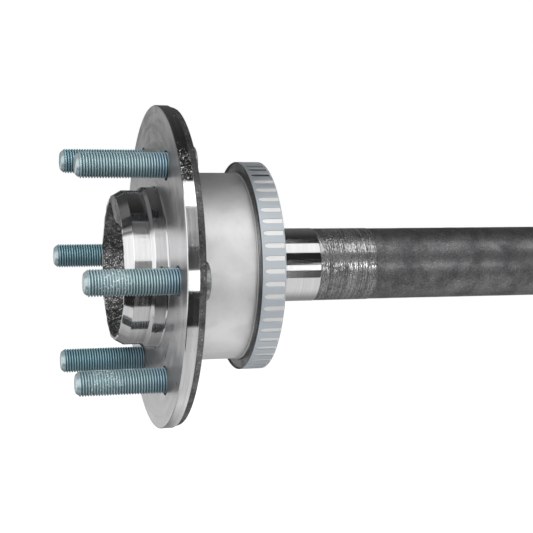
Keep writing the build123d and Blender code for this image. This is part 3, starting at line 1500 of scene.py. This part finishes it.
@dataclass
class ToneRing:
    """The band on the sleeve's seat, with a row of windows for the wheel-speed sensor."""

    windows: int = 54
    columns: int = 8              # facets to each window and the bar beside it
    window_columns: int = 3       # how many of them the window takes
    turn: float = 4.4
    front_rim_w: float = 1.7
    wedge_w: float = 1.9
    wedge_share: float = 0.5      # width of a window's front end, as a share of the rest
    back_rim_w: float = 0.5
    wall: float = 0.42
    edge_bevel: float = 0.22
    edge_w: float = 0.12

    def __post_init__(self) -> None:
        """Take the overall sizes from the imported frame."""
        self.start, self.end, self.r = extent("tone_ring")
        self.front = self.start + self.front_rim_w
        self.back = self.end - self.back_rim_w
        self.pitch = 2 * math.pi / self.windows
        self.half = self.pitch * self.window_columns / self.columns / 2

    def off_middle(self, point: Vector) -> float:
        """Return the angle from the middle of the nearest window to a point."""
        angle = math.atan2(point.z, point.y) - math.radians(self.turn)
        return (angle + self.pitch / 2) % self.pitch - self.pitch / 2

    def surface_at(self, x: float, _r: float, _facing: float) -> Surface:
        """Return the surface of a face: the front edge, or the rest of the band."""
        return Surface.BAND_EDGE if x < self.start + self.edge_w else Surface.BAND

    def band(self) -> Piece:
        """Spin the band's outside as a thin skin, with its windows cut out.

        Returns:
            The skin, with a wedge at the front end of each window.
        """
        stations = (self.start, self.front, self.front + self.wedge_w, self.back, self.end)
        turn = Matrix.Rotation(math.radians(self.turn) - math.pi / 2 - self.half, 3, "X")
        piece = draw_line("windowed_ring", [turn @ Vector((x, 0, self.r)) for x in stations])
        spin_round(self.windows * self.columns)
        bpy.ops.mesh.select_all(action="DESELECT")
        bpy.ops.object.mode_set(mode="OBJECT")
        for face in piece.data.polygons:
            inside = self.front < face.center.x / MM < self.back
            face.select = inside and abs(self.off_middle(face.center)) < self.half
        for vertex in piece.data.vertices:
            off = self.off_middle(vertex.co)
            if abs(vertex.co.x / MM - self.front) < 0.01 and abs(off) < self.half * 1.1:
                vertex.co.rotate(Matrix.Rotation(-off * (1 - self.wedge_share), 3, "X"))
        bpy.ops.object.mode_set(mode="EDIT")
        bpy.ops.mesh.delete(type="FACE")
        bpy.ops.object.mode_set(mode="OBJECT")
        return piece

    def build(self, effects: Effects) -> Piece:
        """Model and dress the ring.

        Args:
            effects: The shared shader groups.

        Returns:
            The finished piece.
        """
        piece = self.band()
        apply_modifier(piece, "SOLIDIFY", thickness=self.wall * MM, offset=-1.0)
        apply_modifier(piece, "BEVEL", width=self.edge_bevel * MM, segments=2,
                       limit_method="ANGLE", angle_limit=math.radians(40))
        # painted shade: the front edge faces away from the lights and is coloured near black
        edge = ForgedSteel("ring front edge painted shade", dark=(0.05, 0.05, 0.052), light=(0.12, 0.12, 0.125),
                           depth=0.01, speck_share=0.1)
        finishes = {Surface.BAND: PlatedSteel("blue zinc"), Surface.BAND_EDGE: edge}
        dress(piece, effects, finishes, self.surface_at)
        smooth(piece, 40.0)
        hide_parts("tone_ring")
        return piece


# Studio


@dataclass(frozen=True)
class Softbox:
    """A long light beside the axle, in metres, seen from it between two angles.

    The angles are degrees above the level, on the side of the camera.
    """

    name: str
    angles: tuple[float, float]
    along: tuple[float, float]
    radiance: float
    distance: float = 2.5
    in_gloss: bool = True

    def build(self) -> None:
        """Add the light, turned to face the axle."""
        lower, upper = self.angles
        start, end = self.along
        middle = math.radians((lower + upper) / 2)
        height = 2 * self.distance * math.tan(math.radians(upper - lower) / 2)
        away = Vector((0, -math.cos(middle), math.sin(middle)))
        light = bpy.data.lights.new(self.name, "AREA")
        light.shape = "RECTANGLE"
        light.size = end - start
        light.size_y = height
        light.energy = self.radiance * math.pi * light.size * height
        piece = bpy.data.objects.new(self.name, light)
        side = Vector((1, 0, 0))
        turn = Matrix((side, away.cross(side), away)).transposed().to_4x4()
        centre = away * self.distance + side * (start + end) / 2
        piece.matrix_world = Matrix.Translation(centre) @ turn
        piece.visible_camera = False
        piece.visible_glossy = self.in_gloss
        bpy.context.scene.collection.objects.link(piece)


@dataclass
class Surroundings:
    """The world round the part: a white wall behind, a lit table and left side, dim elsewhere.

    A limit names a way, such as along the axle, away from the camera or up, and two places
    on it, in parts of a unit vector. The light goes from 0 at the first to 1 at the second,
    or between the two amounts that follow.
    """

    wall: Limits = (("away", -0.1, 0.25), ("up", 0.5, 0.2), ("up", -0.4, -0.18),
                    ("up", 0.03, 0.095, 0.92, 0.185), ("up", -0.01, 0.03, 0.57, 1.0))
    left: Limits = (("along", -0.3, -0.45), ("slant", 0.6, 0.36), ("up", -0.4, -0.3))
    left_slant: float = 0.46
    left_light: float = 1.62
    table: Limits = (("below", -0.02, 0.03), ("up", 0.02, -0.02))
    table_slant: float = 0.93
    table_edge: Limits = (("along", 0.208, 0.193, 0.0, -0.42), ("along", 0.26, 0.29, 0.0, -0.015),
                          ("along", -0.2, -0.5, 0.0, -0.18))
    table_fall: Limits = (("fall", -0.15, 0.78, 1.02, 0.34),)
    table_reach: Limits = (("along", 0.232, 0.21, 0.0, 0.3), ("along", 0.205, 0.19, 0.0, -0.18))
    table_share: Limits = (("along", 0.205, 0.19, 1.0, 0.82), ("along", -0.1, -0.4, 0.0, 0.25))
    under_rim: Limits = (("along", 0.194, 0.2), ("along", 0.236, 0.225),
                         ("away", 0.1, 0.4, 0.0, 0.32))
    above: Limits = (("away", -0.2, 0.9), ("along", 0.22, 0.28, 0.06, 0.13))
    beside: Limits = (("along", -0.25, -0.5, 0.0, 0.18), ("up", -0.5, -0.2))
    least_light: float = 0.025
    diffuse_cut: float = 0.78      # dull surfaces get this much less of the light

    def __post_init__(self) -> None:
        """Start the world's nodes with the ways that the limits name."""
        self.world = bpy.data.worlds.new("studio")
        self.world.use_nodes = True
        self.wires = wires = Wiring(self.world.node_tree)
        along, away, up = wires.axes(wires.node("TexCoord").outputs["Generated"])
        self.ways = {"along": along, "away": away, "up": up}
        self.ways["slant"] = wires.math("MULTIPLY_ADD", away, self.left_slant, up)
        lower = wires.math("SUBTRACT", self.total(self.table_edge), up)
        self.ways["below"] = wires.math("MULTIPLY_ADD", away, self.table_slant, lower)
        self.ways["fall"] = wires.math("SUBTRACT", away, self.total(self.table_reach))

    def fits(self, limits: Limits) -> list[Socket]:
        """Return the light that each limit allows."""
        return [self.wires.fit(self.ways[way], *span) for way, *span in limits]

    def product(self, limits: Limits) -> Socket:
        """Multiply the light of the limits."""
        return self.wires.times(*self.fits(limits))

    def total(self, limits: Limits) -> Socket:
        """Add the light of the limits."""
        return self.wires.plus(*self.fits(limits))

    def build(self) -> None:
        """Light the part with all of them, and show the camera plain white."""
        wires, path = self.wires, self.wires.node("LightPath").outputs
        left = wires.times(self.product(self.left), self.left_light)
        table = wires.times(self.product(self.table_fall), self.total(self.table_share))
        table = wires.plus(table, self.product(self.under_rim))
        table = wires.times(self.product(self.table), table)
        dim = wires.plus(self.product(self.above), self.least_light, self.product(self.beside))
        light = wires.chain("MAXIMUM", dim, self.product(self.wall), left, table)
        falls = wires.math("MULTIPLY_ADD", path["Is Diffuse Ray"], -self.diffuse_cut, 1.0)
        light = wires.times(light, falls)
        white = wires.math("SUBTRACT", 1.0, light)
        strength = wires.math("MULTIPLY_ADD", path["Is Camera Ray"], white, light)
        background = self.world.node_tree.nodes["Background"]
        wires.feed(background, {"Strength": strength, "Color": (*grey(1.0), 1.0)})
        bpy.context.scene.world = self.world


@dataclass
class Studio:
    """Pale floor, soft light and the camera. Sizes are metres, as the lights' are."""

    floor_z: float = -0.34
    floor_size: float = 60.0
    floor_tone: float = 0.9
    floor_roughness: float = 0.9
    camera_place: tuple[float, float, float] = (-0.130466, -0.694015, -0.014348)
    camera_aim: tuple[float, float, float] = (0.27288, 0.96187, 0.01874)
    camera_up: tuple[float, float, float] = (0.01602, -0.02402, 0.99958)
    camera_clip: float = 0.01
    lens: float = 83.93
    sensor_w: float = 36.0
    left_end: float = -1.6        # where the long lights begin and end
    right_end: float = 3.2
    side_distance: float = 2.4
    sleeve_distance: float = 2.45
    fill_distance: float = 2.3

    def add_camera(self) -> None:
        """Stand the camera where the photograph was taken from."""
        data = bpy.data.cameras.new("photo camera")
        data.lens = self.lens
        data.sensor_width = self.sensor_w
        data.clip_start = self.camera_clip
        camera = bpy.data.objects.new("photo camera", data)
        aim = Vector(self.camera_aim).normalized()
        side = aim.cross(Vector(self.camera_up)).normalized()
        turn = Matrix((side, side.cross(aim), -aim)).transposed().to_4x4()
        camera.matrix_world = Matrix.Translation(self.camera_place) @ turn
        bpy.context.scene.collection.objects.link(camera)
        bpy.context.scene.camera = camera

    def add_floor(self) -> None:
        """Lay a pale floor below the part."""
        bpy.ops.object.select_all(action="DESELECT")
        bpy.ops.mesh.primitive_plane_add(size=self.floor_size, location=(0, 0, self.floor_z))
        floor = bpy.context.object
        floor.name = "floor"
        material, wires, shader = new_material("pale floor")
        wires.feed(shader, {
            "Base Color": (*grey(self.floor_tone), 1.0), "Roughness": self.floor_roughness,
            "Emission Color": (*grey(1.0), 1.0), "Emission Strength": 1.0})
        floor.data.materials.append(material)
        floor.visible_diffuse = floor.visible_glossy = floor.visible_shadow = False

    def lights(self) -> list[Softbox]:
        """List the lights. Each one's edges lie where the photograph shows them mirrored.

        Returns:
            The lights, those of one surface together.
        """
        left, right = self.left_end, self.right_end
        side, sleeve = self.side_distance, self.sleeve_distance
        rim, band = (0.52, 0.63), (0.67, 0.76)
        return [
            Softbox("upper softbox", (36.0, 68.0), (0.64, right), 1.5),
            Softbox("short softbox", (39.8, 58.0), (0.505, 0.64), 3.0),
            Softbox("grey card", (22.0, 41.0), rim, 0.52),
            Softbox("grey card middle", (12.0, 22.0), rim, 0.41),
            Softbox("grey card foot", (-4.0, 12.0), rim, 0.09),
            Softbox("side softbox fade", (47.0, 70.0), (0.37, 0.45), 0.2, side),
            Softbox("lower strip", (-19.7, -3.2), (0.63, right), 1.5),
            Softbox("lower strip patch", (-17.5, 3.0), (0.94, 1.13), 4.6, sleeve),
            Softbox("sleeve glow", (-44.0, -20.0), band, 6.1, sleeve),
            Softbox("sleeve middle glow", (-3.0, 14.0), (0.67, 0.74), 4.5, sleeve),
            Softbox("sleeve top glow", (62.0, 86.0), band, 7.5, sleeve),
            Softbox("short strip", (-17.5, -4.0), (0.51, 0.63), 3.0),
            Softbox("side softbox", (7.5, 41.0), (left, 0.485), 1.62, side),
            Softbox("side softbox top", (41.0, 47.0), (left, 0.485), 1.15, side),
            Softbox("side glow", (-14.0, 7.5), (left, 0.475), 0.42, side),
            Softbox("lower glow", (-40.0, -19.0), (0.79, right), 0.07),
            Softbox("tall side softbox", (47.0, 52.5), (left, -0.3), 1.6, side),
            Softbox("front fill", (26.0, 74.0), (left, 0.2), 2.75, self.fill_distance,
                    in_gloss=False),
        ]

    def build(self) -> None:
        """Set up the whole studio."""
        self.add_camera()
        self.add_floor()
        Surroundings().build()
        for light in self.lights():
            light.build()
        bpy.context.scene.view_settings.view_transform = "Standard"
        bpy.context.scene.cycles.use_denoising = True


def main() -> None:
    """Load the frame, build every piece and the studio, and log each piece's face count."""
    logging.basicConfig(level=logging.INFO, format="%(name)s: %(message)s")
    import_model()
    effects = Effects()
    pieces = [assembly().build(effects) for assembly in (AxleForging, SensorSleeve, ToneRing)]
    pieces += WheelStud().build(effects)
    for piece in pieces:
        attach(piece, BODY)
        log.info("%s has %d faces", piece.name, len(piece.data.polygons))
    Studio().build()


if __name__ == "__main__":
    main()
